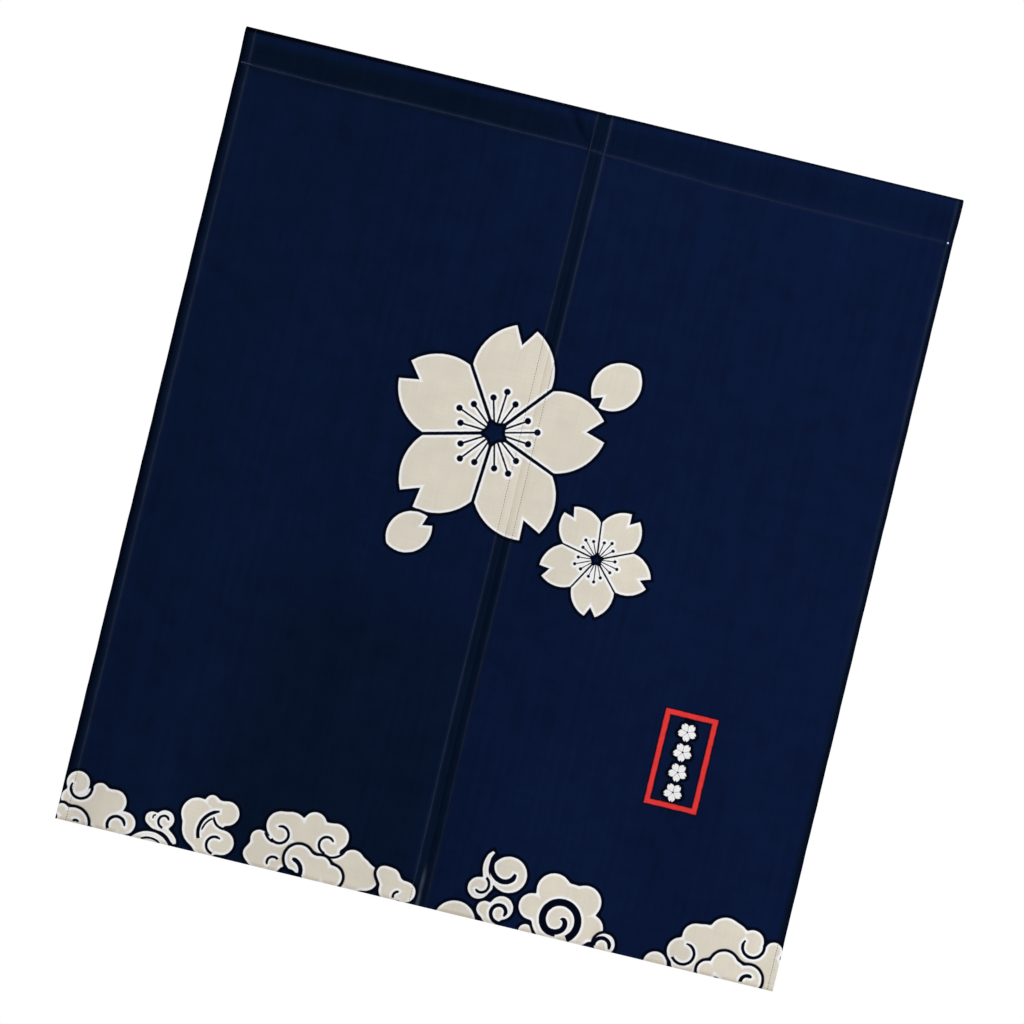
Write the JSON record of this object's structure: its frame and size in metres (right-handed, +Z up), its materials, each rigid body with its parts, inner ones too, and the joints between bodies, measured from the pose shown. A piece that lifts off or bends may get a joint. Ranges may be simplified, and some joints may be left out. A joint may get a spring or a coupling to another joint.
{
  "type": "noren curtain",
  "caption": "Short split noren curtain: hemmed navy cloths side by side under a rod pocket, with a cloud border and a blossom print across the slit.",
  "frame": {"origin": "middle of the top edge, where the rod pocket folds over the rod", "axes": "+X along the rod to the right as seen from the printed face, +Y away from the printed face, +Z up"},
  "size_m": [0.814, 0.0244, 0.9],
  "materials": {
    "printed_cloth": "matt plain-woven cotton, navy with an ecru and red print",
    "heading_cloth": "matt plain-woven cotton, navy"
  },
  "bodies": {
    "root": {"panel_left": "printed_cloth", "panel_right": "printed_cloth", "rod_pocket_left": "heading_cloth", "rod_pocket_right": "heading_cloth"}
  },
  "joints": []
}
